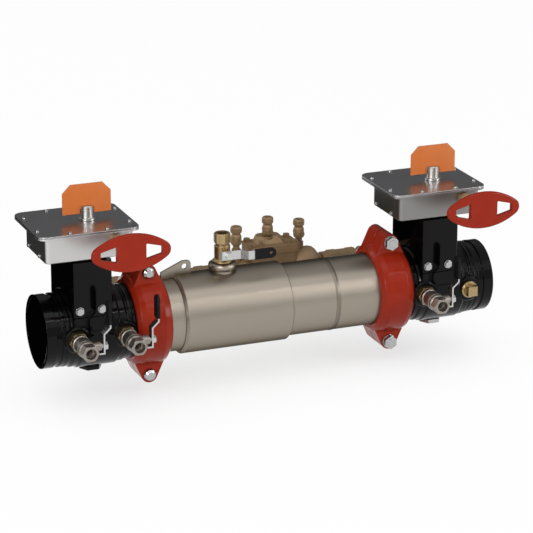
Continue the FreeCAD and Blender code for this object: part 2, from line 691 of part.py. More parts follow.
# Grooved couplings: two housings, a gasket, two bolts and two nuts each
def coupling_half(centre_x, side):
    """One cast housing; side is -1 for the front half and 1 for the rear half."""
    half = coupling_width / 2
    key_in = pipe_end_gap / 2 + groove_from_end + loose_fit
    key_out = pipe_end_gap / 2 + groove_from_end + groove_width - loose_fit
    inside = [(half, pipe_radius + 0.5), (key_out, pipe_radius + 0.5), (key_out, groove_radius + loose_fit),
              (key_in, groove_radius + loose_fit), (key_in, gasket_radius)]
    outside = [(half, coupling_radius - 9), (half - 5, coupling_radius - 3), (half - 13, coupling_radius)]
    outline = outside + [(-a, r) for a, r in outside[::-1]] + [(-a, r) for a, r in inside] + inside[::-1]
    ring = turned("x", (centre_x, 0, 0), outline)
    reach, tip, deep = coupling_bolt_z, coupling_pad_radius, coupling_pad_depth
    y0, y1 = sorted((side * coupling_split, side * deep))
    parts = [ring]
    for up in (-1, 1):
        foot = 52
        lean = half - tip
        rise = reach - foot
        spread = hypot(rise, lean)
        nx, nz = rise / spread, lean / spread
        corners = [(-half, foot), (-tip * nx, reach + tip * nz), (tip * nx, reach + tip * nz), (half, foot)]
        tooth = sheet([(centre_x + x, y0, up * z) for x, z in corners], (0, y1 - y0, 0))
        boss = rod("y", (centre_x, 0, up * reach), tip, y0, y1)
        parts += [tooth, boss]
    hollow = turned("x", (centre_x, 0, 0), [(half + 1, 0), (half + 1, inside[0][1])] + inside[1:]
                    + [(-a, r) for a, r in inside[1:][::-1]] + [(-half - 1, inside[0][1]), (-half - 1, 0)])
    whole = parts[0].fuse(parts[1:]).cut(hollow)
    far = reach + tip + 1
    y0, y1 = sorted((side * coupling_split, side * far))
    whole = whole.common(block(centre_x - half, centre_x + half, y0, y1, -far, far)).removeSplitter()
    bolt_holes = [rod("y", (centre_x, 0, up * reach), coupling_bolt_radius, -deep - 1, deep + 1) for up in (-1, 1)]
    return whole.cut(bolt_holes)


def gasket(centre_x):
    """Rubber ring over the two pipe ends."""
    wide = pipe_end_gap / 2 + groove_from_end - 1
    return turned("x", (centre_x, 0, 0), [(-wide, pipe_radius), (-wide, gasket_radius), (wide, gasket_radius),
                                         (wide, pipe_radius), (wide - 6, pipe_radius), (wide - 8, pipe_radius + 3),
                                         (8 - wide, pipe_radius + 3), (6 - wide, pipe_radius)])


def coupling_bolt(centre_x, up, head_side):
    """Dome-headed track bolt; head_side is -1 for a head at the front."""
    face, reach = coupling_pad_depth, up * coupling_bolt_z
    points = [(-face - 10, 0), (-face - 10, coupling_bolt_radius), (face, coupling_bolt_radius), (face, 9.8)]
    points += [(face + 2, 9.8), (face + 5, 8.6), (face + 7.2, 5.5), (face + 8, 0)]
    return turned("y", (centre_x, 0, reach), [(head_side * a, r) for a, r in points])


def coupling_nut(centre_x, up, head_side):
    """Hexagon nut with a washer face on the end of one track bolt."""
    face, reach = coupling_pad_depth, up * coupling_bolt_z
    y0, y1 = sorted((-head_side * (face + 1.5), -head_side * (face + 9.5)))
    y2, y3 = sorted((-head_side * face, -head_side * (face + 1.5)))
    nut = fused(hexagon("y", (centre_x, 0, reach), coupling_nut_across, y0, y1),
                rod("y", (centre_x, 0, reach), coupling_nut_across / 2 + 1.5, y2, y3))
    return nut.cut(rod("y", (centre_x, 0, reach), coupling_bolt_radius, min(y0, y2) - 1, max(y1, y3) + 1))


bolts, nuts = [], []
for name, centre_x, head_side in (("inlet", coupling_inlet, -1), ("outlet", coupling_outlet, 1)):
    save(name + "_coupling_front", coupling_half(centre_x, -1))
    save(name + "_coupling_rear", coupling_half(centre_x, 1))
    bolts += [coupling_bolt(centre_x, up, head_side) for up in (-1, 1)]
    nuts += [coupling_nut(centre_x, up, head_side) for up in (-1, 1)]
save("coupling_bolts", *bolts)
save("coupling_nuts", *nuts)
save("coupling_gaskets", gasket(coupling_inlet), gasket(coupling_outlet))


# Stainless body tube with rolled grooves, access sleeve, its seals, vent boss and lifting lug
def tube_profile(radius, spread):
    """Points (along, radius) of the tube's wall, pushed in at both grooves and spread wider inside."""
    near, far = groove_from_end - spread, groove_from_end + groove_width + spread
    steps = [(0, 0), (near, 0), (near, groove_depth), (far, groove_depth), (far, 0)]
    left = [(tube_start + a, radius - drop) for a, drop in steps]
    right = [(tube_end - a, radius - drop) for a, drop in steps]
    return left + right[::-1]


def body_tube():
    """Tube with its wall pushed in at the two grooves and a weld bead past the sleeve."""
    outer = tube_profile(pipe_radius, 0)
    inner = tube_profile(tube_bore_radius, tube_wall)
    tube = turned("x", (0, 0, 0), outer + inner[::-1])
    half, crown = weld_width / 2, pipe_radius + weld_height
    bead = turned("x", (weld_x, 0, 0), [(-half, pipe_radius - 0.5), (-half, pipe_radius), (-half / 2, crown),
                                       (half / 2, crown), (half, pipe_radius), (half, pipe_radius - 0.5)])
    return fused(tube, bead).cut(rod("z", (vent_x, 0, 0), vent_port_radius, 0, vent_boss_top))


def access_sleeve():
    """Sliding sleeve over the service opening, with a seal groove near each end."""
    start, end, bevel = sleeve_start, sleeve_end, sleeve_bevel
    inner = pipe_radius + loose_fit / 2
    outline = [(start, inner), (start, sleeve_radius - bevel), (start + bevel, sleeve_radius),
               (end - bevel / 3, sleeve_radius), (end, sleeve_radius - bevel / 3), (end, inner)]
    for x in seal_places[::-1]:
        outline += [(x + seal_width / 2, inner), (x + seal_width / 2, inner + seal_depth),
                    (x - seal_width / 2, inner + seal_depth), (x - seal_width / 2, inner)]
    return turned("x", (0, 0, 0), outline).cut(rod("z", (vent_x, 0, 0), vent_port_radius, 0, vent_boss_top))


def sleeve_seal(x):
    """Rubber ring squeezed between the tube and the bottom of its groove."""
    half, inner = seal_width / 2 - 0.2, pipe_radius
    outer = inner + loose_fit / 2 + seal_depth
    return turned("x", (x, 0, 0), [(-half, inner + 0.8), (-half + 0.8, inner), (half - 0.8, inner),
                                  (half, inner + 0.8), (half, outer - 0.8), (half - 0.8, outer),
                                  (0.8 - half, outer), (-half, outer - 0.8)])


def vent_boss():
    """Stainless ring saddled on the sleeve, tapped for the vent valve."""
    top, wide, low = vent_boss_top, vent_boss_radius, sleeve_radius - vent_boss_wall
    ring = turned("z", (vent_x, 0, 0), [(low, wide - 3), (top - 11.5, wide - 3), (top - 9.5, wide - 0.8),
                                       (top - 7, wide), (top - 4, wide), (top - 1.5, wide - 0.8), (top, wide - 3),
                                       (top, vent_port_radius), (low, vent_port_radius)])
    return ring.cut(rod("x", (0, 0, 0), sleeve_radius, sleeve_start, sleeve_end))


def lifting_lug():
    """Stainless plate stood on the tube and sleeve, with a lifting hole."""
    foot = pipe_radius - 15
    points = [(lug_left, foot), (lug_left, lug_top - 15), (lug_right - 14, lug_top), (lug_right - 5, lug_top),
              (lug_right - 1.5, lug_top - 1.5), (lug_right, lug_top - 5), (lug_right, foot)]
    plate = sheet([(x, 3, z) for x, z in points], (0, lug_thickness, 0))
    under = turned("x", (0, 0, 0), [(sleeve_start, 0), (sleeve_start, sleeve_radius - sleeve_bevel),
                                   (sleeve_start + sleeve_bevel, sleeve_radius), (sleeve_end, sleeve_radius),
                                   (sleeve_end, 0)])
    plate = plate.cut([under, rod("x", (0, 0, 0), pipe_radius, tube_start, tube_end)])
    return plate.cut(rod("y", (lug_right - 10.4, 0, lug_top - 9), lug_hole_radius, 0, 10))


save("body_tube", body_tube())
save("access_sleeve", access_sleeve())
save("sleeve_seals", *[sleeve_seal(x) for x in seal_places])
save("vent_boss", vent_boss())
save("lifting_lug", lifting_lug())


# Check modules: seat ring with hinge ears, clapper with arm and knuckles, pin and spring
def check_frame(seat_x):
    """Seat ring in the tube, with two ears for the hinge pin and a lip round the bore."""
    ring = turned("x", (seat_x, 0, 0), [(0, seat_bore_radius), (0, tube_bore_radius - loose_fit / 2),
                                       (seat_thickness, tube_bore_radius - loose_fit / 2),
                                       (seat_thickness, clapper_radius + 6),
                                       (seat_thickness - 3, clapper_radius + 4),
                                       (seat_thickness - 3, seat_bore_radius + 3),
                                       (seat_thickness, seat_bore_radius + 1.5), (seat_thickness, seat_bore_radius)])
    hinge_x = seat_x + seat_thickness + hinge_beyond_seat
    ears = []
    for y in (-ear_outside, ear_inside):
        thick = ear_outside - ear_inside
        arm = block(seat_x + seat_thickness - 3, hinge_x, y, y + thick, hinge_above_axis - 4, hinge_above_axis + 4)
        eye = rod("y", (hinge_x, 0, hinge_above_axis), hinge_eye_radius, y, y + thick)
        ears += [arm, eye]
    pin = rod("y", (hinge_x, 0, hinge_above_axis), hinge_pin_radius, -ear_outside - 1, ear_outside + 1)
    return ring.fuse(ears).removeSplitter().cut(pin)


def clapper(seat_x):
    """Clapper held shut on its seat, with its arm and two knuckles on the hinge pin."""
    face = seat_x + seat_thickness + loose_fit
    hinge_x = seat_x + seat_thickness + hinge_beyond_seat
    plate = turned("x", (face, 0, 0), [(0, 0), (0, clapper_radius), (clapper_thickness - 1.5, clapper_radius),
                                      (clapper_thickness, clapper_radius - 3), (clapper_thickness, 10),
                                      (clapper_thickness + 4, 8), (clapper_thickness + 4, 0)])
    pieces = []
    for y in (-ear_inside + loose_fit, knuckle_inside):
        wide = ear_inside - loose_fit - knuckle_inside
        pieces.append(block(face + clapper_thickness - 3, hinge_x + 2, y, y + wide, 0, hinge_above_axis))
        pieces.append(rod("y", (hinge_x, 0, hinge_above_axis), hinge_eye_radius, y, y + wide))
    arms = pieces[0].fuse(pieces[1:])
    bore = rod("y", (hinge_x, 0, hinge_above_axis), hinge_pin_radius + running_fit, -20, 20)
    return fused(plate, arms).cut(bore)


def hinge_set(seat_x):
    """Hinge pin through the ears and the closing spring coiled round it."""
    hinge_x = seat_x + seat_thickness + hinge_beyond_seat
    centre = (hinge_x, 0, hinge_above_axis)
    pin = rod("y", centre, hinge_pin_radius, -ear_outside - 1, ear_outside + 1)
    inner, wire = hinge_pin_radius + running_fit, spring_wire
    start = -spring_coils * wire / 2
    outline = [(start, inner)]
    for k in range(spring_coils):
        a = start + k * wire
        outline += [(a, inner + 1), (a + wire * 0.25, inner + 1.9), (a + wire * 0.75, inner + 1.9)]
    outline += [(-start, inner + 1), (-start, inner)]
    return [pin, turned("y", centre, outline)]


seats = (first_seat, first_seat + check_pitch)
for name, seat_x in zip(("first", "second"), seats):
    save(name + "_check_frame", check_frame(seat_x))
    save(name + "_check_clapper", clapper(seat_x))
save("check_hinge_sets", *[s for x in seats for s in hinge_set(x)])


# Ball valves, drawn with the flow along Z, the spindle along X and the closed lever along Y
def oriented(shape, origin, spindle, lever, flow):
    """Place a part drawn in the valve's own axes."""
    moved = shape.copy()
    matrix = FreeCAD.Matrix(spindle[0], lever[0], flow[0], origin[0],
                            spindle[1], lever[1], flow[1], origin[1],
                            spindle[2], lever[2], flow[2], origin[2], 0, 0, 0, 1)
    moved.Placement = FreeCAD.Placement(matrix)
    return moved


def ball_valve_body(length, ball_at, outline):
    """Turned barrel with a hexagonal mouth, a side boss for the spindle and the ball's chamber."""
    barrel = turned("z", (0, 0, 0), [(0, 0)] + outline + [(length - 1, outline[-1][1]), (length - 1, 0)])
    corner = mouth_across / 2 / cos(radians(30))
    end = hexagon("z", (0, 0, 0), mouth_across, outline[-1][0], length)
    cone = turned("z", (0, 0, 0), [(outline[-1][0], 0), (outline[-1][0], corner - 1), (outline[-1][0] + 1, corner),
                                  (length - 1.5, corner), (length, corner - 1.8), (length, 0)])
    boss = rod("x", (0, 0, ball_at), spindle_boss_radius, 0, spindle_boss_length)
    body = fused(barrel, end.common(cone), boss)
    cuts = [rod("z", (0, 0, 0), ball_bore_radius, -1, length),
            rod("z", (0, 0, 0), mouth_radius, length - mouth_depth, length + 1),
            Part.makeSphere(ball_radius + loose_fit, V(0, 0, ball_at)),
            rod("x", (0, 0, ball_at), valve_spindle_radius + running_fit, 0, spindle_boss_length + 1)]
    return body.cut(cuts)


def test_valve_body():
    """Forged test valve: collar with a socket for the nipple, ringed barrel and a hexagonal mouth."""
    length, ball_at, wall = test_valve_length, test_ball_from_end, ball_radius + 3.2
    outline = [(0, wall - 0.7), (1, wall + 0.3), (7, wall + 0.3), (8, wall - 1.2), (10.5, wall - 1.2),
               (11.5, wall), (ball_at + 1, wall), (ball_at + 2, wall + 0.7), (ball_at + 5, wall + 0.7),
               (ball_at + 6, wall), (ball_at + 11, wall), (length - 16, wall - 2.2)]
    body = ball_valve_body(length, ball_at, outline)
    return body.cut(rod("z", (0, 0, 0), nipple_thread, -1, nipple_thread_length))


def vent_valve_body():
    """Brass vent valve: flared foot on the boss, barrel, waist and a hexagonal mouth."""
    length, ball_at, wall = vent_valve_length, vent_ball_from_end, ball_radius + 2.6
    outline = [(0, wall + 2.4), (1.2, wall + 3.2), (3, wall + 3), (6.5, wall), (ball_at + 8.5, wall),
               (ball_at + 10, wall - 1.8), (length - 17, wall - 1.8), (length - 16, wall - 0.8)]
    body = ball_valve_body(length, ball_at, outline)
    shank = turned("z", (0, 0, 0), [(-8, ball_bore_radius), (-8, vent_port_radius), (0.5, vent_port_radius),
                                   (0.5, ball_bore_radius)])
    return fused(body, shank)


def lever_set(ball_at, reach):
    """Ball with its spindle, the pressed lever, its nut and the dipped grip."""
    inner = spindle_boss_length + 3
    ball = Part.makeSphere(ball_radius, V(0, 0, ball_at))
    ball = ball.fuse(rod("x", (0, 0, ball_at), valve_spindle_radius, 0, inner + 7))
    ball = ball.cut(rod("y", (0, 0, ball_at), ball_bore_radius, -20, 20)).removeSplitter()
    half, out = lever_width / 2, inner + 1 + lever_jog
    path = [(inner - 7, -10), (inner + 1, -10), (inner + 1, 20), (out, 29), (out, reach)]
    outline = [(x, y, ball_at - half) for x, y in bent_strip(path, lever_thickness)]
    plate = sheet(outline, (0, 0, lever_width))
    round_end = reach - grip_wall - half
    grip_start = reach - grip_length
    tip = rod("x", (0, round_end, ball_at), half, 0, out + 10)
    plate = plate.common(tip.fuse(block(0, out + 10, -20, round_end, ball_at - 20, ball_at + 20)))
    thick, wide = lever_thickness / 2 + grip_wall, half + grip_wall
    grip = block(out - thick, out + thick, grip_start, round_end, ball_at - wide, ball_at + wide)
    grip = grip.fuse(rod("x", (0, round_end, ball_at), wide, out - thick, out + thick)).removeSplitter()
    rim = [e for e in grip.Edges if e.BoundBox.XLength < 0.01 and e.BoundBox.YMax > grip_start + 0.01]
    grip = grip.makeFillet(grip_wall, rim)
    hole = rod("x", (0, round_end, ball_at), grip_hole_radius, 0, out + 10)
    nut = hexagon("x", (0, 0, ball_at), 11, inner + 1 + lever_thickness / 2, inner + 6 + lever_thickness / 2)
    nut = nut.cut(rod("x", (0, 0, ball_at), valve_spindle_radius, inner, inner + 9))
    plate = plate.cut([rod("x", (0, 0, ball_at), valve_spindle_radius, inner - 9, inner + 9), hole])
    return [ball, plate, nut, grip.cut([plate, hole])]


def test_nipple():
    """Brass hexagon nipple between the casting's port and the valve."""
    bar = hexagon("z", (0, 0, 0), nipple_across, -nipple_hex, 0)
    thread = rod("z", (0, 0, 0), nipple_thread, -nipple_hex - 12, nipple_thread_length)
    return fused(bar, thread).cut(rod("z", (0, 0, 0), 6.5, -nipple_hex - 13, nipple_thread_length + 1))


test_start = -port_face - nipple_hex
front = ((1, 0, 0), (0, 0, 1), (0, -1, 0))
test_places = {"upstream": stem_inlet - half_pitch, "downstream": stem_inlet + half_pitch,
               "outlet": stem_outlet - half_pitch}
save("test_nipples", *[oriented(test_nipple(), (x, test_start, 0), *front) for x in test_places.values()])
save("test_valve_bodies", *[oriented(test_valve_body(), (x, test_start, 0), *front) for x in test_places.values()])
for name, x in test_places.items():
    pieces = lever_set(test_ball_from_end, lever_reach)
    save(name + "_test_lever", *[oriented(s, (x, test_start, 0), *front) for s in pieces])

top = ((0, -1, 0), (1, 0, 0), (0, 0, 1))
vent_start = (vent_x, 0, vent_boss_top)
save("vent_valve_body", oriented(vent_valve_body(), vent_start, *top))
save("vent_lever", *[oriented(s, vent_start, *top) for s in lever_set(vent_ball_from_end, vent_lever_reach)])


def body_plug():
    """Brass plug with a square head in the outlet casting's spare port."""
    x = stem_outlet + half_pitch
    collar = turned("y", (x, 0, 0), [(-port_face - 6, 0), (-port_face - 6, 11.5), (-port_face - 4, 13.5),
                                    (-port_face, 13.5), (-port_face, nipple_thread),
                                    (-port_face + 11, nipple_thread), (-port_face + 11, 0)])
    half = plug_head_side / 2
    head = block(x - half, x + half, -port_face - 17, -port_face - 5, -half, half)
    head = head.makeChamfer(1, [e for e in head.Edges if e.BoundBox.YMax < -port_face - 16.9])
    return fused(collar, head)


save("body_plug", body_plug())


# Bypass: nipples, elbows, unions, spool in place of a meter, and a bronze double check
def hollow_pipe(axis, at, start, end):
    """Length of bypass pipe."""
    inner = bypass_pipe_radius - bypass_pipe_wall
    return rod(axis, at, bypass_pipe_radius, start, end).cut(rod(axis, at, inner, start - 1, end + 1))


def elbow(x, side):
    """Threaded elbow with a band at each mouth; side is 1 where the run leaves along +X."""
    centre = (x, bypass_y, 0)
    x0, x1 = sorted((0, side * elbow_reach))
    b0, b1 = sorted((side * (elbow_reach - 9), side * elbow_reach))
    outer = [Part.makeSphere(elbow_radius, V(*centre)), rod("x", centre, elbow_radius, x0, x1),
             rod("y", centre, elbow_radius, -elbow_reach, 0), rod("x", centre, elbow_radius + 2.5, b0, b1),
             rod("y", centre, elbow_radius + 2.5, -elbow_reach, -elbow_reach + 9)]
    bore = bypass_pipe_radius - bypass_pipe_wall
    x2, x3 = sorted((0, side * (elbow_reach + 1)))
    s0, s1 = sorted((side * (elbow_reach - pipe_engagement), side * (elbow_reach + 1)))
    inner = [Part.makeSphere(bore, V(*centre)), rod("x", centre, bore, x2, x3),
             rod("y", centre, bore, -elbow_reach - 1, 0), rod("x", centre, bypass_pipe_radius, s0, s1),
             rod("y", centre, bypass_pipe_radius, -elbow_reach - 1, -elbow_reach + pipe_engagement)]
    return outer[0].fuse(outer[1:]).cut(inner)


def union(start):
    """Hexagonal ends, nut and bushing of one union, screwed up face to face."""
    centre = (0, bypass_y, 0)
    pieces, at = [], start
    for length, across in zip(union_lengths, (union_across - 3, union_across, union_across - 1.5, union_across)):
        band = hexagon("x", centre, across, at, at + length)
        corner = across / 2 / cos(radians(30))
        edge = turned("x", centre, [(at, 0), (at, corner - 1.2), (at + 1.2, corner), (at + length - 1.2, corner),
                                    (at + length, corner - 1.2), (at + length, 0)])
        pieces.append(band.common(edge))
        at += length
    return fused(*pieces).cut(rod("x", centre, bypass_pipe_radius, start - 1, at + 1))


line = (0, bypass_y, 0)
union_length = sum(union_lengths)
pipe_first = bypass_in + elbow_reach - pipe_engagement
pipe_last = bypass_out - elbow_reach + pipe_engagement
inlet_neck_end = bypass_check_left - bypass_inlet_neck
outlet_neck_end = bypass_check_right + bypass_neck_length
union_places = (bypass_in + elbow_reach + union_to_elbow, inlet_neck_end - union_to_elbow - union_length,
                bypass_out - elbow_reach - union_to_elbow - union_length)
rear_end = bypass_y - elbow_reach + pipe_engagement
save("bypass_elbows", elbow(bypass_in, 1), elbow(bypass_out, -1))
save("bypass_unions", *[union(x) for x in union_places])
pipes = [hollow_pipe("y", (x, 0, 0), port_face - 14, rear_end) for x in (bypass_in, bypass_out)]
pipes += [hollow_pipe("x", line, pipe_first, inlet_neck_end), hollow_pipe("x", line, outlet_neck_end, pipe_last)]
save("bypass_pipes", *pipes)


def bypass_check_body():
    """Bronze double check casting with a rectangular top flange and domed shoulders."""
    a, b = bypass_check_left, bypass_check_right
    y0, y1 = bypass_y - bypass_half_width, bypass_y + bypass_half_width
    trunk = rounded_plate(a, b, y0, y1, -20, bypass_cover_bottom, 9)
    bottom = [e for e in trunk.Edges if e.BoundBox.ZMax < -19.9]
    trunk = trunk.makeFillet(6, bottom)
    left = turned("x", (a, bypass_y, 0), [(4, 0), (4, 23), (-6, 25), (-14, 24), (-22, 19), (-22, 21.5),
                                         (-bypass_inlet_neck, 21.5), (-bypass_inlet_neck, 0)])
    dome = [(-4, 27), (8, 29), (13, 29.5), (27, 29.5), (32, 28.3), (36, 25), (40, 19.5), (43, 16.5), (45.5, 15.5)]
    right = turned("x", (b, bypass_y, 4), [(-4, 0)] + dome + [(45.5, 0)])
    neck = turned("x", (b, bypass_y, 0), [(20, 0), (20, 18), (bypass_neck_length, 18), (bypass_neck_length, 0)])
    lip = rounded_plate(a - 2, b + 2, y0 - 2, y1 + 2, bypass_cover_bottom - 8, bypass_cover_bottom, 8)
    seats = [rod("z", (x, bypass_y, 0), cock_seat_radius, 10, bypass_cover_bottom) for x in cock_places[::2]]
    body = trunk.fuse([left, right, neck, lip] + seats).removeSplitter()
    screws = [rod("z", (x, y, 0), cover_screw_radius, bypass_cover_bottom - 10, bypass_cover_bottom + 1)
              for x, y in cover_screws]
    return body.cut(screws)


cover_screws = [(x, bypass_y + y) for x in (bypass_check_left + 6, bypass_check_right - 6) for y in (-17, 17)]


def octagon(x0, x1, y0, y1, z, cut):
    """Flat wire of a rectangle with its corners cut off."""
    points = [(x0 + cut, y0), (x1 - cut, y0), (x1, y0 + cut), (x1, y1 - cut), (x1 - cut, y1), (x0 + cut, y1),
              (x0, y1 - cut), (x0, y0 + cut), (x0 + cut, y0)]
    return Part.makePolygon([V(x, y, z) for x, y in points])


def bypass_cover():
    """Bronze cover: flat rim, a crown that rises to the rear, ribs, and a boss for the middle test cock."""
    a, b, base = bypass_check_left - 2, bypass_check_right + 2, bypass_cover_bottom
    rim, crest, deep = base + bypass_cover_plate, bypass_cover_top, bypass_half_width + 2
    plate = rounded_plate(a, b, bypass_y - deep, bypass_y + deep, base, rim, 8)
    crown = Part.makeLoft([octagon(a + 14, b - 14, bypass_y - 16, bypass_y + 20, rim - 1, 9),
                           octagon(a + 20, b - 26, bypass_y - 4, bypass_y + 18, crest, 7)], True, True)
    ribs = [block(x - 1.5, x + 1.5, bypass_y - 21, bypass_y, rim - 1, rim + 6) for x in (a + 22, b - 24)]
    ribs += [block(a + 16, b - 16, bypass_y - 20.5, bypass_y - 17.5, rim - 1, rim + 2.5)]
    boss = rod("z", (cock_middle, bypass_y, 0), 9, rim - 1, crest)
    cover = plate.fuse([crown, boss] + ribs).removeSplitter()
    return cover.cut([rod("z", (x, y, 0), cover_screw_radius, base - 1, crest) for x, y in cover_screws])


def cover_screw(x, y):
    """Hexagon screw in one corner of the cover."""
    base = bypass_cover_bottom + bypass_cover_plate
    shank = rod("z", (x, y, 0), cover_screw_radius, bypass_cover_bottom - 10, base)
    return fused(hexagon("z", (x, y, 0), 10, base, base + 5), shank)


def test_cock(x, base, top_z):
    """Bronze test cock: round foot, barrel with a slotted side plug, waist and a rounded hexagonal mouth."""
    body = turned("z", (x, bypass_y, 0), [(base, 0), (base, 5.5), (top_z - 32, 5.5), (top_z - 30, 8), (top_z - 27, 9),
                                         (top_z - 16, 8.5), (top_z - 13, 7), (top_z - 11, 7), (top_z - 11, 0)])
    mouth = hexagon("z", (x, bypass_y, 0), 17.5, top_z - 11, top_z)
    cone = turned("z", (x, bypass_y, 0), [(top_z - 12, 0), (top_z - 12, 7), (top_z - 8.5, 10), (top_z - 2.5, 10),
                                         (top_z, 7.5), (top_z, 0)])
    middle = top_z - 23
    plug = rod("y", (x, bypass_y, middle), 5.5, -11.5, 11.5)
    slot = block(x - 1, x + 1, bypass_y - 13, bypass_y - 10, middle - 6, middle + 6)
    bore = rod("z", (x, bypass_y, 0), 4.5, top_z - 9, top_z + 1)
    return fused(body, mouth.common(cone), plug).cut([bore, slot])


save("bypass_check_body", bypass_check_body())
save("bypass_cover", bypass_cover())
save("bypass_cover_screws", *[cover_screw(x, y) for x, y in cover_screws])
cocks = zip(cock_places, (bypass_cover_bottom, bypass_cover_top, bypass_cover_bottom),
            (cock_top, cock_middle_top, cock_top))
save("bypass_test_cocks", *[test_cock(*place) for place in cocks])
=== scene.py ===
import bpy
import numpy as np
from mathutils import Matrix, Vector


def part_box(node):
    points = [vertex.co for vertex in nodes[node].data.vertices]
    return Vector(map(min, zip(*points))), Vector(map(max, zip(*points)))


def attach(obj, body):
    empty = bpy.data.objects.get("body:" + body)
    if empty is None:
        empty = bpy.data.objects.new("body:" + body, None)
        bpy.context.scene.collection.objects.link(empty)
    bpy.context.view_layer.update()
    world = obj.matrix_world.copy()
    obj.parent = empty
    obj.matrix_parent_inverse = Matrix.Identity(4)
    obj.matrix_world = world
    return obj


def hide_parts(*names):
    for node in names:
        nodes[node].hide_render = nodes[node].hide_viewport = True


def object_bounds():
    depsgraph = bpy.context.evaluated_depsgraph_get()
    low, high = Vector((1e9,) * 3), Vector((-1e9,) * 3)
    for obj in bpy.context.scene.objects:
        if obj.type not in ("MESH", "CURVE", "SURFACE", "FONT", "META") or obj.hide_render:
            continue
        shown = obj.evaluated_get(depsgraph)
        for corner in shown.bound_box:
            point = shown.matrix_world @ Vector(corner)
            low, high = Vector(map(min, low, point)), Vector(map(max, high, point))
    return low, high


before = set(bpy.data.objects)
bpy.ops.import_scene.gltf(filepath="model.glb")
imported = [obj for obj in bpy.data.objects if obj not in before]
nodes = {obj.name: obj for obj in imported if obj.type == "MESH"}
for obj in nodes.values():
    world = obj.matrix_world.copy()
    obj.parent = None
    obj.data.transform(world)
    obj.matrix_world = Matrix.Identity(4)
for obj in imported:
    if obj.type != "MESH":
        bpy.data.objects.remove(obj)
cad_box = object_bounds()

# Studio camera: a long lens at the photograph's angle. Place and look direction are in the CAD's frame, in metres,
# and the focal length in pixels is for the photograph's own width.
camera_place = Vector((-1.0279, -3.4912, 1.3056))
look = Vector((0.3539, 0.8807, -0.3148)).normalized()
sensor_width = 36.0
focal_pixels = 2544.74
image_pixels = 533
side = look.cross(Vector((0, 0, 1))).normalized()
camera_data = bpy.data.cameras.new("camera")
camera_data.sensor_fit = "HORIZONTAL"
camera_data.sensor_width = sensor_width
camera_data.lens = focal_pixels * sensor_width / image_pixels
camera_data.clip_end = 60
camera = bpy.data.objects.new("camera", camera_data)
camera_turn = Matrix((side, side.cross(look), -look)).transposed()
camera.matrix_world = Matrix.Translation(camera_place) @ camera_turn.to_4x4()
bpy.context.scene.collection.objects.link(camera)
bpy.context.scene.camera = camera
bpy.context.scene.view_settings.view_transform = "Standard"


# Studio floor: a wide matt sheet of white card, far larger than the view, a little under the lowest bolt pads.
# It glows white to the camera, to metal and to glass alike, and keeps a faint shadow of the object:
# where less than open_share of the space over it is free, within contact_reach, it dims by up to contact_loss.
floor_drop = 0.02
floor_reach = 14.0
floor_glow = 0.96
contact_reach = 0.22
contact_loss = 0.55
open_share = 0.9


def linear(code):
    """Linear RGBA of an sRGB hex colour: c / 12.92 below 0.04045, else ((c + 0.055) / 1.055) ** 2.4."""
    parts = [int(code[k:k + 2], 16) / 255 for k in (0, 2, 4)]
    return [c / 12.92 if c < 0.04045 else ((c + 0.055) / 1.055) ** 2.4 for c in parts] + [1.0]


def add_node(tree, kind, settings=None, links=None):
    """Add a shader node; settings maps a property or input to its value, links an input to an output."""
    node = tree.nodes.new(kind)
    for name, value in (settings or {}).items():
        if isinstance(name, int) or name in node.inputs:
            node.inputs[name].default_value = value
        else:
            setattr(node, name, value)
    for name, output in (links or {}).items():
        tree.links.new(output, node.inputs[name])
    return node


def shader(name, colour, **sockets):
    """New material with one Principled BSDF; every keyword sets the socket of that name."""
    material = bpy.data.materials.new(name)
    material.use_nodes = True
    tree = material.node_tree
    principled = tree.nodes["Principled BSDF"]
    principled.inputs["Base Color"].default_value = linear(colour)
    for key, value in sockets.items():
        principled.inputs[key.replace("_", " ").title().replace("Ior", "IOR")].default_value = value
    place = add_node(tree, "ShaderNodeTexCoord").outputs["Object"]
    return material, tree, principled, place


def grid_mesh(name, points):
    """Mesh over a grid of points, shape (rows, columns, 3): one quad between each four neighbours."""
    rows, columns = points.shape[:2]
    number = np.arange(rows * columns).reshape(rows, columns)
    faces = np.stack([number[:-1, :-1], number[1:, :-1], number[1:, 1:], number[:-1, 1:]], -1).reshape(-1, 4)
    mesh = bpy.data.meshes.new(name)
    mesh.from_pydata(points.reshape(-1, 3).tolist(), [], faces.tolist())
    mesh.polygons.foreach_set("use_smooth", [True] * len(mesh.polygons))
    return mesh


floor_z = cad_box[0][2] - floor_drop
floor_ends = np.array([-1.0, 1.0]) * floor_reach
floor_x, floor_y = np.meshgrid(floor_ends, floor_ends, indexing="ij")
floor_points = np.stack([floor_x, floor_y, np.full_like(floor_x, floor_z)], -1)
floor = bpy.data.objects.new("floor", grid_mesh("floor", floor_points))
bpy.context.scene.collection.objects.link(floor)
card, tree, principled, place = shader("matt_white_card", "e8e8e8", roughness=0.95, specular_ior_level=0.0)
rays = add_node(tree, "ShaderNodeLightPath").outputs
seen = add_node(tree, "ShaderNodeMath", {"operation": "MAXIMUM"},
                {0: rays["Is Camera Ray"], 1: rays["Is Glossy Ray"]})
seen = add_node(tree, "ShaderNodeMath", {"operation": "MAXIMUM"},
                {0: seen.outputs["Value"], 1: rays["Is Transmission Ray"]})
open_floor = add_node(tree, "ShaderNodeAmbientOcclusion", {"Distance": contact_reach, "samples": 8})
clear = add_node(tree, "ShaderNodeMapRange",
                 {"From Max": open_share, "To Min": floor_glow * (1 - contact_loss), "To Max": floor_glow},
                 {"Value": open_floor.outputs["AO"]})
share = add_node(tree, "ShaderNodeMath", {"operation": "MULTIPLY"},
                 {0: seen.outputs["Value"], 1: clear.outputs["Result"]})
glow = add_node(tree, "ShaderNodeEmission", {"Color": (1.0, 1.0, 1.0, 1.0), "Strength": 1.0})
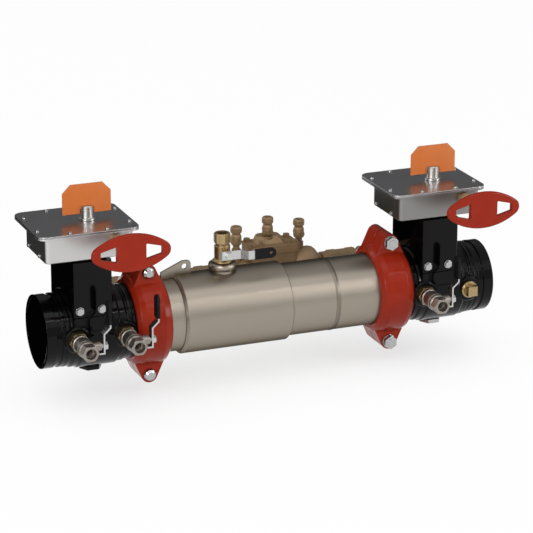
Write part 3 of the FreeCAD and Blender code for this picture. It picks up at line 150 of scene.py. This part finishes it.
mixed = add_node(tree, "ShaderNodeMixShader",
                 links={0: share.outputs["Value"], 1: principled.outputs["BSDF"], 2: glow.outputs["Emission"]})
tree.links.new(mixed.outputs["Shader"], tree.nodes["Material Output"].inputs["Surface"])
floor.data.materials.append(card)


# Studio room: pale in front of the object, and behind it a dim wall that grows pale overhead.
# It lights the object and shows in its metal. The camera sees plain white past the floor's edge.
front_to_back = (-0.3, 0.7)
wall_to_ceiling = (0.2, 0.8)
world = bpy.data.worlds.new("studio_room")
bpy.context.scene.world = world
world.use_nodes = True
tree = world.node_tree
background = tree.nodes["Background"]
direction = add_node(tree, "ShaderNodeTexCoord").outputs["Generated"]
ways = add_node(tree, "ShaderNodeSeparateXYZ", links={0: direction}).outputs
behind = add_node(tree, "ShaderNodeMapRange", {"From Min": front_to_back[0], "From Max": front_to_back[1]},
                  {"Value": ways["Y"]})
above = add_node(tree, "ShaderNodeMapRange", {"From Min": wall_to_ceiling[0], "From Max": wall_to_ceiling[1]},
                 {"Value": ways["Z"]})
back_wall = add_node(tree, "ShaderNodeMix", {"data_type": "RGBA", 6: linear("3a3b3f"), 7: linear("b4b5b6")},
                     {0: above.outputs["Result"]})
room = add_node(tree, "ShaderNodeMix", {"data_type": "RGBA", 6: linear("cfcfd0")},
                {0: behind.outputs["Result"], 7: back_wall.outputs[2]})
rays = add_node(tree, "ShaderNodeLightPath").outputs
past_floor = add_node(tree, "ShaderNodeMix", {"data_type": "RGBA", 7: (1.0, 1.0, 1.0, 1.0)},
                      {0: rays["Is Camera Ray"], 6: room.outputs[2]})
tree.links.new(past_floor.outputs[2], background.inputs["Color"])


# Studio lamps: softboxes that all face the object's middle, each a place, a width and height, and a power in watts.
# The key, strip and top lamps draw the tube's highlights; the narrow side and rib lamps draw the castings' edges.
# The two front lamps light the boxes and the paint, and the rear one lights the back of the object.
centre = (0.37, 0.0, 0.03)
lamps = {
    "key": ((1.0, -2.3, 2.0), 2.6, 1.5, 6),
    "strip": ((0.8, -2.0, 2.1), 2.2, 0.03, 3.4),
    "side": ((-2.4, -1.9, 1.5), 0.08, 1.4, 14),
    "ribs": ((2.6, -2.3, 1.0), 0.05, 1.6, 10),
    "front_left": ((-2.2, -2.8, 1.2), 1.4, 1.4, 48),
    "front_right": ((2.9, -1.7, 1.1), 0.9, 1.4, 24),
    "top": ((0.4, -1.0, 2.7), 2.4, 1.2, 10),
    "rear_left": ((-2.3, 2.3, 1.3), 1.4, 1.4, 34),
}
for name, (stand, width, height, power) in lamps.items():
    lamp = bpy.data.lights.new(name, "AREA")
    lamp.shape = "RECTANGLE"
    lamp.size, lamp.size_y = width, height
    lamp.energy = power
    holder = bpy.data.objects.new(name, lamp)
    holder.location = stand
    holder.rotation_euler = (Vector(centre) - Vector(stand)).to_track_quat("-Z", "Y").to_euler()
    bpy.context.scene.collection.objects.link(holder)


# Studio cards: two sheets of black velvet on stands, one left of the inlet and one left of the outlet's casting.
# Only reflections see them; they keep the pale floor out of the faces that look left.
# Each has its two feet on the floor, as X and Y, and its height.
velvet_sheets = {
    "inlet_side_flag": (((-0.090, -0.05), (0.099, 0.60)), 0.46),
    "outlet_side_flag": (((0.36, 0.24), (0.60, 0.30)), 0.21),
}
nap_size = 0.002
pile, tree, principled, place = shader("black_velvet", "0a0a0a", roughness=0.95, specular_ior_level=0.0)
nap = add_node(tree, "ShaderNodeTexNoise", {"Scale": 1 / nap_size}, {"Vector": place})
tone = add_node(tree, "ShaderNodeMix", {"data_type": "RGBA", 6: linear("080808"), 7: linear("0e0e0e")},
                {0: nap.outputs["Fac"]})
tree.links.new(tone.outputs[2], principled.inputs["Base Color"])
foot, rise = np.meshgrid(np.arange(2), np.arange(2), indexing="ij")
for name, (feet, height) in velvet_sheets.items():
    feet, level = np.array(feet), np.array([floor_z, floor_z + height])
    sheet_points = np.stack([feet[foot, 0], feet[foot, 1], level[rise]], -1)
    velvet = bpy.data.objects.new(name, grid_mesh(name, sheet_points))
    bpy.context.scene.collection.objects.link(velvet)
    velvet.data.materials.append(pile)
    velvet.visible_camera = False
    velvet.visible_diffuse = False
    velvet.visible_shadow = False


# Valve castings, brackets and the inlet's plug: ductile iron and folded steel under black fusion-bonded epoxy.
# The coat is glossy, softens every edge and has a faint orange peel over the sand-cast skin.
peel_size = 0.009
skin_size = 0.0016
coat_edge = 0.0014


def dress(material, *names):
    """Give CAD nodes a material."""
    for name in names:
        nodes[name].data.materials.clear()
        nodes[name].data.materials.append(material)


epoxy, tree, principled, place = shader("black_epoxy_on_sand_cast_iron", "030304", roughness=0.09,
                                        specular_ior_level=0.16)
peel = add_node(tree, "ShaderNodeTexNoise", {"Scale": 1 / peel_size, "Detail": 3.0}, {"Vector": place})
skin = add_node(tree, "ShaderNodeTexNoise", {"Scale": 1 / skin_size, "Detail": 2.0}, {"Vector": place})
rounded = add_node(tree, "ShaderNodeBevel", {"Radius": coat_edge, "samples": 6})
coarse = add_node(tree, "ShaderNodeBump", {"Strength": 0.06, "Distance": 0.0004},
                  {"Height": peel.outputs["Fac"], "Normal": rounded.outputs["Normal"]})
fine = add_node(tree, "ShaderNodeBump", {"Strength": 0.03, "Distance": 0.0002},
                {"Height": skin.outputs["Fac"], "Normal": coarse.outputs["Normal"]})
tree.links.new(fine.outputs["Normal"], principled.inputs["Normal"])
gloss = add_node(tree, "ShaderNodeMapRange", {"To Min": 0.06, "To Max": 0.12}, {"Value": peel.outputs["Fac"]})
tree.links.new(gloss.outputs["Result"], principled.inputs["Roughness"])
dress(epoxy, "inlet_valve_body", "outlet_valve_body", "inlet_bracket", "outlet_bracket", "inlet_bottom_plug")

# Discs, gaskets and seals: moulded black rubber, on the discs as a coat over iron plates.
# Moulded rubber is matt with a very fine even grain.
rubber_grain = 0.0012
rubber, tree, principled, place = shader("moulded_black_rubber", "141414", roughness=0.7)
grain = add_node(tree, "ShaderNodeTexNoise", {"Scale": 1 / rubber_grain, "Detail": 2.0}, {"Vector": place})
bump = add_node(tree, "ShaderNodeBump", {"Strength": 0.2, "Distance": 0.0002}, {"Height": grain.outputs["Fac"]})
tree.links.new(bump.outputs["Normal"], principled.inputs["Normal"])
dress(rubber, "inlet_disc", "outlet_disc", "coupling_gaskets", "sleeve_seals")

# Stems with their hubs, worms and hinge pins: steel turned on a lathe, with its sharp corners broken.
# The finish is bright and slightly uneven.
turned_cloud = 0.004
turned_edge = 0.0005
turned_steel, tree, principled, place = shader("turned_steel", "bcbab6", metallic=1.0, roughness=0.28)
cloud = add_node(tree, "ShaderNodeTexNoise", {"Scale": 1 / turned_cloud, "Detail": 4.0}, {"Vector": place})
gloss = add_node(tree, "ShaderNodeMapRange", {"To Min": 0.2, "To Max": 0.4}, {"Value": cloud.outputs["Fac"]})
tree.links.new(gloss.outputs["Result"], principled.inputs["Roughness"])
rounded = add_node(tree, "ShaderNodeBevel", {"Radius": turned_edge, "samples": 4})
tree.links.new(rounded.outputs["Normal"], principled.inputs["Normal"])
dress(turned_steel, "inlet_stem", "outlet_stem", "inlet_worm", "outlet_worm", "check_hinge_sets")

# Flags: sheet steel painted safety orange, semi-gloss, its cut edges softened by the paint.
# Paint on sheet shows a faint long wave.
paint_wave = 0.03
flag_edge = 0.0006
orange, tree, principled, place = shader("orange_paint_on_sheet_steel", "bd6528", roughness=0.38,
                                         coat_weight=0.15)
wave = add_node(tree, "ShaderNodeTexNoise", {"Scale": 1 / paint_wave, "Detail": 2.0}, {"Vector": place})
tone = add_node(tree, "ShaderNodeMix", {"data_type": "RGBA", 6: linear("b86024"), 7: linear("c46a2c")},
                {0: wave.outputs["Fac"]})
tree.links.new(tone.outputs[2], principled.inputs["Base Color"])
rounded = add_node(tree, "ShaderNodeBevel", {"Radius": flag_edge, "samples": 4})
tree.links.new(rounded.outputs["Normal"], principled.inputs["Normal"])
dress(orange, "inlet_flag", "outlet_flag")

# Gear boxes: deep-drawn aluminium, satin, with fine vertical draw lines; the outlet's box gets a darker copy of it,
# which is painted shade.
# The lines are drawn coarser than real ones, about 1 mm apart and 25 times as long, so that they show.
draw_line = 0.0009
draw_line_share = 0.04
drawn_edge = 0.0012
aluminium, tree, principled, place = shader("deep_drawn_satin_aluminium", "cbcac8", metallic=1.0, roughness=0.32)
stretch = add_node(tree, "ShaderNodeMapping", {"Scale": (1.0, 1.0, draw_line_share)}, {"Vector": place})
lines = add_node(tree, "ShaderNodeTexNoise", {"Scale": 1 / draw_line, "Detail": 3.0},
                 {"Vector": stretch.outputs["Vector"]})
gloss = add_node(tree, "ShaderNodeMapRange", {"To Min": 0.26, "To Max": 0.4}, {"Value": lines.outputs["Fac"]})
tree.links.new(gloss.outputs["Result"], principled.inputs["Roughness"])
rounded = add_node(tree, "ShaderNodeBevel", {"Radius": drawn_edge, "samples": 4})
tree.links.new(rounded.outputs["Normal"], principled.inputs["Normal"])
dress(aluminium, "inlet_gear_box")
# Painted shade: the outlet's box takes a copy of the same aluminium with only its base colour darkened, as if it
# stood in shadow.
shaded_aluminium_copy = aluminium.copy()
shaded_aluminium_copy.name = "deep_drawn_aluminium_painted_shade"
shaded_aluminium_copy.node_tree.nodes["Principled BSDF"].inputs["Base Color"].default_value = linear("8c8a88")
dress(shaded_aluminium_copy, "outlet_gear_box")

# Tamper switches on the gear boxes' floor: dark grey moulded plastic cases with roller arms.
# The mould's fine texture makes it satin.
switch_grain = 0.001
switch_plastic, tree, principled, place = shader("moulded_switch_plastic", "1c1d1f", roughness=0.5)
grain = add_node(tree, "ShaderNodeTexNoise", {"Scale": 1 / switch_grain}, {"Vector": place})
bump = add_node(tree, "ShaderNodeBump", {"Strength": 0.1, "Distance": 0.0002}, {"Height": grain.outputs["Fac"]})
tree.links.new(bump.outputs["Normal"], principled.inputs["Normal"])
dress(switch_plastic, "tamper_switches")

# Lids: cut metal plate with a dark polish that mirrors the flag, and bright edges.
# The polish is nearly even, with faint rolling marks along X, 20 times as long as they are apart.
roll_mark = 0.0015
roll_mark_share = 0.05
lid_edge = 0.001
lid_plate, tree, principled, place = shader("dark_polished_plate", "a9a8a8", metallic=1.0, roughness=0.3)
stretch = add_node(tree, "ShaderNodeMapping", {"Scale": (roll_mark_share, 1.0, 1.0)}, {"Vector": place})
lines = add_node(tree, "ShaderNodeTexNoise", {"Scale": 1 / roll_mark, "Detail": 3.0},
                 {"Vector": stretch.outputs["Vector"]})
gloss = add_node(tree, "ShaderNodeMapRange", {"To Min": 0.28, "To Max": 0.33}, {"Value": lines.outputs["Fac"]})
tree.links.new(gloss.outputs["Result"], principled.inputs["Roughness"])
rounded = add_node(tree, "ShaderNodeBevel", {"Radius": lid_edge, "samples": 4})
tree.links.new(rounded.outputs["Normal"], principled.inputs["Normal"])
dress(lid_plate, "inlet_lid", "outlet_lid")

# Fasteners and the outlet's plug: forged and headed steel with bright zinc plate.
# Plating keeps small clouds of duller metal, and its low edge tint holds back the glare at grazing angles.
plate_cloud = 0.003
plated_edge = 0.0005
zinc, tree, principled, place = shader("bright_zinc_plate", "b4b4b4", metallic=1.0, roughness=0.2,
                                       specular_tint=(0.3, 0.3, 0.3, 1.0))
cloud = add_node(tree, "ShaderNodeTexNoise", {"Scale": 1 / plate_cloud, "Detail": 4.0}, {"Vector": place})
gloss = add_node(tree, "ShaderNodeMapRange", {"To Min": 0.14, "To Max": 0.26}, {"Value": cloud.outputs["Fac"]})
tree.links.new(gloss.outputs["Result"], principled.inputs["Roughness"])
rounded = add_node(tree, "ShaderNodeBevel", {"Radius": plated_edge, "samples": 4})
tree.links.new(rounded.outputs["Normal"], principled.inputs["Normal"])
dress(zinc, "operator_screws", "bracket_bolts", "coupling_bolts", "coupling_nuts", "outlet_bottom_plug")


# Operator screws: cross-recess pan heads, zinc plated, eight in each lid and two in each box's left face.
# A cold-headed dome with a rolled edge; the driver's cross is struck in with sloping walls.
# Lid screws sit at two distances from the stem along X and Y, near the ends and near the long sides.
stem_places = (0.084, 0.658)
end_screws = ((-0.0881, 0.0561), (-0.0327, 0.0377))
side_screws = ((-0.0448, 0.0128), (-0.058, 0.063))
box_face = -0.085
box_screw_z = 0.130
box_screw_y = (-0.0296, 0.0267)
head_radius = 0.0034
head_height = 0.0022
head_edge = 0.0009
dome_rings = 15
head_turns = 48
shank_radius = 0.0019
shank_sink = 0.003
cross_reach = 0.0021
cross_half_width = 0.00055
cross_depth = 0.0013
cross_end_slope = 0.0006
cross_wall_slope = 0.0003


def closed_skin(rings):
    """Points and faces over rings of points, shape (rings, turns, 3): a fan round its middle shuts each end."""
    count, turns = rings.shape[:2]
    points = np.concatenate([rings.reshape(-1, 3), [rings[0].mean(0), rings[-1].mean(0)]])
    number = np.arange(count * turns).reshape(count, turns)
    after = np.roll(number, -1, axis=1)
    quads = np.stack([number[:-1], after[:-1], after[1:], number[1:]], -1).reshape(-1, 4)
    first = np.stack([after[0], number[0], np.full(turns, count * turns)], -1)
    last = np.stack([number[-1], after[-1], np.full(turns, count * turns + 1)], -1)
    return points, quads.tolist() + first.tolist() + last.tolist()


def skins_mesh(name, skins, sharp_angle=0.6):
    """One mesh of several closed skins; edges that turn by more than sharp_angle radians stay crisp."""
    points, faces, start = [], [], 0
    for skin_points, skin_faces in skins:
        points += skin_points.tolist()
        faces += [[start + corner for corner in face] for face in skin_faces]
        start += len(skin_points)
    mesh = bpy.data.meshes.new(name)
    mesh.from_pydata(points, [], faces)
    mesh.polygons.foreach_set("use_smooth", [True] * len(mesh.polygons))
    mesh.set_sharp_from_angle(angle=sharp_angle)
    return mesh


def cross_bar(along, across):
    """Depth of one bar of the cross, from 0 to 1: full inside its length and width, falling in a line to each rim."""
    walls = np.clip((cross_half_width - np.abs(across)) / cross_wall_slope, 0, 1)
    ends = np.clip((cross_reach - np.abs(along)) / cross_end_slope, 0, 1)
    return walls * ends


def screw_head(seat, towards):
    """One head: h(r) = edge + (height - edge) (1 - (r / R)^2)^0.5, less a cross of two bars with sloping ends.

    seat is the middle of its underside. The first four rings are the shank's end, the shank at the plate, the
    head's flat underside and its widest turn.
    """
    radius = np.concatenate([np.full(2, shank_radius), [head_radius * 0.98, head_radius],
                             np.linspace(head_radius * 0.99, head_radius * 0.02, dome_rings)])
    turn = np.linspace(0, 2 * np.pi, head_turns, endpoint=False)
    r, angle = np.meshgrid(radius, turn, indexing="ij")
    dome = head_edge + (head_height - head_edge) * np.sqrt(np.clip(1 - (r / head_radius) ** 2, 0, 1))
    a, b = r * np.cos(angle), r * np.sin(angle)
    height = dome - cross_depth * np.maximum(cross_bar(a, b), cross_bar(b, a))
    height[0], height[1], height[2], height[3] = -shank_sink, 0.0, 0.0, head_edge * 0.5
    offset = [a, b, height] if towards == "up" else [-height, b, a]
    return closed_skin(np.stack(offset, -1) + np.array(seat))


lid_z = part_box("inlet_lid")[1][2]
heads = []
for stem_x in stem_places:
    for from_stem_x, from_stem_y in (end_screws, side_screws):
        heads += [screw_head((stem_x + x, y, lid_z), "up") for x in from_stem_x for y in from_stem_y]
    heads += [screw_head((stem_x + box_face, y, box_screw_z), "left") for y in box_screw_y]
screws = bpy.data.objects.new("cross_recess_screws", skins_mesh("cross_recess_screws", heads))
bpy.context.scene.collection.objects.link(screws)
screws.data.materials.append(zinc)
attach(screws, "root")
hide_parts("operator_screws")


# Bypass line, worm wheels and bushings: sand-cast bronze, machined where parts meet.
# The casting's skin is a dull brown gold with slow darker clouds and the sand's grain.
bronze_cloud = 0.012
sand_grain = 0.0018
cast_edge = 0.0012
bronze, tree, principled, place = shader("sand_cast_bronze", "917858", metallic=0.4, roughness=0.5)
cloud = add_node(tree, "ShaderNodeTexNoise", {"Scale": 1 / bronze_cloud, "Detail": 6.0}, {"Vector": place})
tone = add_node(tree, "ShaderNodeMix", {"data_type": "RGBA", 6: linear("846b4c"), 7: linear("9e8462")},
                {0: cloud.outputs["Fac"]})
tree.links.new(tone.outputs[2], principled.inputs["Base Color"])
sand = add_node(tree, "ShaderNodeTexNoise", {"Scale": 1 / sand_grain, "Detail": 3.0}, {"Vector": place})
rounded = add_node(tree, "ShaderNodeBevel", {"Radius": cast_edge, "samples": 4})
bump = add_node(tree, "ShaderNodeBump", {"Strength": 0.35, "Distance": 0.0005},
                {"Height": sand.outputs["Fac"], "Normal": rounded.outputs["Normal"]})
tree.links.new(bump.outputs["Normal"], principled.inputs["Normal"])
dress(bronze, "inlet_worm_wheel", "outlet_worm_wheel", "stem_bushings", "worm_bushings", "bypass_check_body",
      "bypass_cover", "bypass_cover_screws", "bypass_test_cocks", "bypass_elbows", "bypass_unions", "bypass_pipes")

# Couplings and crank handles: cast iron with semi-gloss red paint.
# The paint lies thick, rounds the edges and shows the casting's slow unevenness.
casting_wave = 0.02
paint_peel = 0.006
paint_edge = 0.002
red, tree, principled, place = shader("red_paint_on_cast_iron", "8a2312", roughness=0.15,
                                      specular_ior_level=0.14)
wave = add_node(tree, "ShaderNodeTexNoise", {"Scale": 1 / casting_wave, "Detail": 4.0}, {"Vector": place})
tone = add_node(tree, "ShaderNodeMix", {"data_type": "RGBA", 6: linear("801f0d"), 7: linear("8c2512")},
                {0: wave.outputs["Fac"]})
tree.links.new(tone.outputs[2], principled.inputs["Base Color"])
peel = add_node(tree, "ShaderNodeTexNoise", {"Scale": 1 / paint_peel, "Detail": 3.0}, {"Vector": place})
rounded = add_node(tree, "ShaderNodeBevel", {"Radius": paint_edge, "samples": 6})
bump = add_node(tree, "ShaderNodeBump", {"Strength": 0.08, "Distance": 0.0004},
                {"Height": peel.outputs["Fac"], "Normal": rounded.outputs["Normal"]})
tree.links.new(bump.outputs["Normal"], principled.inputs["Normal"])
dress(red, "inlet_crank_handle", "outlet_crank_handle", "inlet_coupling_front", "inlet_coupling_rear",
      "outlet_coupling_front", "outlet_coupling_rear")

# Body tube, sleeve, vent boss, lug and check modules: stainless steel, satin ground round the tube.
# The grinding lines run round the axis, so the tube's highlights are drawn out along its length. They are drawn
# coarser than real grit, 1.2 mm apart, so that they show. The weld between the two lengths of tube is a duller band.
weld_x = 0.474
weld_half_width = 0.004
ground_colour = linear("9d9488")
weld_colour = linear("847c72")
grind_line = 0.0012
grind_line_share = 0.03
ground_edge = 0.0008
stainless, tree, principled, place = shader("satin_ground_stainless", "9d9488", metallic=1.0, roughness=0.38,
                                            anisotropic=0.5, anisotropic_rotation=0.25,
                                            specular_tint=(0.2, 0.2, 0.2, 1.0))
stretch = add_node(tree, "ShaderNodeMapping", {"Scale": (1.0, grind_line_share, grind_line_share)},
                   {"Vector": place})
lines = add_node(tree, "ShaderNodeTexNoise", {"Scale": 1 / grind_line, "Detail": 4.0},
                 {"Vector": stretch.outputs["Vector"]})
gloss = add_node(tree, "ShaderNodeMapRange", {"To Min": 0.28, "To Max": 0.42}, {"Value": lines.outputs["Fac"]})
tree.links.new(gloss.outputs["Result"], principled.inputs["Roughness"])
along = add_node(tree, "ShaderNodeSeparateXYZ", links={0: place}).outputs["X"]
from_weld = add_node(tree, "ShaderNodeMath", {"operation": "COMPARE", 1: weld_x, 2: weld_half_width}, {0: along})
tone = add_node(tree, "ShaderNodeMix", {"data_type": "RGBA", 6: ground_colour, 7: weld_colour},
                {0: from_weld.outputs["Value"]})
tree.links.new(tone.outputs[2], principled.inputs["Base Color"])
round_tube = add_node(tree, "ShaderNodeTangent", {"direction_type": "RADIAL", "axis": "X"})
tree.links.new(round_tube.outputs["Tangent"], principled.inputs["Tangent"])
rounded = add_node(tree, "ShaderNodeBevel", {"Radius": ground_edge, "samples": 4})
tree.links.new(rounded.outputs["Normal"], principled.inputs["Normal"])
dress(stainless, "body_tube", "access_sleeve", "vent_boss", "lifting_lug", "first_check_frame",
      "second_check_frame", "first_check_clapper", "second_check_clapper")

# Vent valve, nipples and square-headed plug: yellow brass, machined bright.
# Hand tarnish leaves slightly browner clouds.
tarnish_cloud = 0.008
brass_edge = 0.0007
brass, tree, principled, place = shader("machined_yellow_brass", "ab9468", metallic=1.0, roughness=0.34)
cloud = add_node(tree, "ShaderNodeTexNoise", {"Scale": 1 / tarnish_cloud, "Detail": 5.0}, {"Vector": place})
tone = add_node(tree, "ShaderNodeMix", {"data_type": "RGBA", 6: linear("9c865d"), 7: linear("b8a27a")},
                {0: cloud.outputs["Fac"]})
tree.links.new(tone.outputs[2], principled.inputs["Base Color"])
rounded = add_node(tree, "ShaderNodeBevel", {"Radius": brass_edge, "samples": 4})
tree.links.new(rounded.outputs["Normal"], principled.inputs["Normal"])
dress(brass, "vent_valve_body", "test_nipples", "body_plug")

# Test valve bodies: forged brass under grey nickel, a little brown in places.
# Forged and tumbled before plating, so the skin is soft and slightly grainy.
forged_grain = 0.0025
forged_edge = 0.0007
nickel, tree, principled, place = shader("grey_nickel_on_forged_brass", "958e86", metallic=1.0, roughness=0.42)
grain = add_node(tree, "ShaderNodeTexNoise", {"Scale": 1 / forged_grain, "Detail": 4.0}, {"Vector": place})
tone = add_node(tree, "ShaderNodeMix", {"data_type": "RGBA", 6: linear("878078"), 7: linear("a09991")},
                {0: grain.outputs["Fac"]})
tree.links.new(tone.outputs[2], principled.inputs["Base Color"])
rounded = add_node(tree, "ShaderNodeBevel", {"Radius": forged_edge, "samples": 4})
bump = add_node(tree, "ShaderNodeBump", {"Strength": 0.15, "Distance": 0.0002},
                {"Height": grain.outputs["Fac"], "Normal": rounded.outputs["Normal"]})
tree.links.new(bump.outputs["Normal"], principled.inputs["Normal"])
dress(nickel, "test_valve_bodies")

# Levers: pressed steel, zinc plated, each with its end dipped in black vinyl.
# The vinyl is soft and matt; it starts at grip_start, along Z on a test lever and along X on the vent lever.
lever_cloud = 0.003
lever_edge = 0.0005
vinyl_roughness = 0.55
levers = {
    "test": ("Z", 0.034, ("upstream_test_lever", "downstream_test_lever", "outlet_test_lever")),
    "vent": ("X", 0.3398, ("vent_lever",)),
}
for kind, (axis, grip_start, names) in levers.items():
    lever, tree, principled, place = shader("zinc_plated_" + kind + "_lever_with_vinyl_grip", "bfbfbe",
                                            specular_ior_level=0.15)
    along = add_node(tree, "ShaderNodeSeparateXYZ", links={0: place}).outputs[axis]
    grip = add_node(tree, "ShaderNodeMath", {"operation": "GREATER_THAN", 1: grip_start}, {0: along})
    metal = add_node(tree, "ShaderNodeMath", {"operation": "SUBTRACT", 0: 1.0}, {1: grip.outputs["Value"]})
    tone = add_node(tree, "ShaderNodeMix", {"data_type": "RGBA", 6: linear("c4c4c3"), 7: linear("0c0c0d")},
                    {0: grip.outputs["Value"]})
    cloud = add_node(tree, "ShaderNodeTexNoise", {"Scale": 1 / lever_cloud, "Detail": 4.0}, {"Vector": place})
    plated = add_node(tree, "ShaderNodeMapRange", {"To Min": 0.16, "To Max": 0.34},
                      {"Value": cloud.outputs["Fac"]})
    rough = add_node(tree, "ShaderNodeMix", {3: vinyl_roughness},
                     {0: grip.outputs["Value"], 2: plated.outputs["Result"]})
    tree.links.new(tone.outputs[2], principled.inputs["Base Color"])
    tree.links.new(metal.outputs["Value"], principled.inputs["Metallic"])
    tree.links.new(rough.outputs[0], principled.inputs["Roughness"])
    rounded = add_node(tree, "ShaderNodeBevel", {"Radius": lever_edge, "samples": 4})
    tree.links.new(rounded.outputs["Normal"], principled.inputs["Normal"])
    dress(lever, *names)
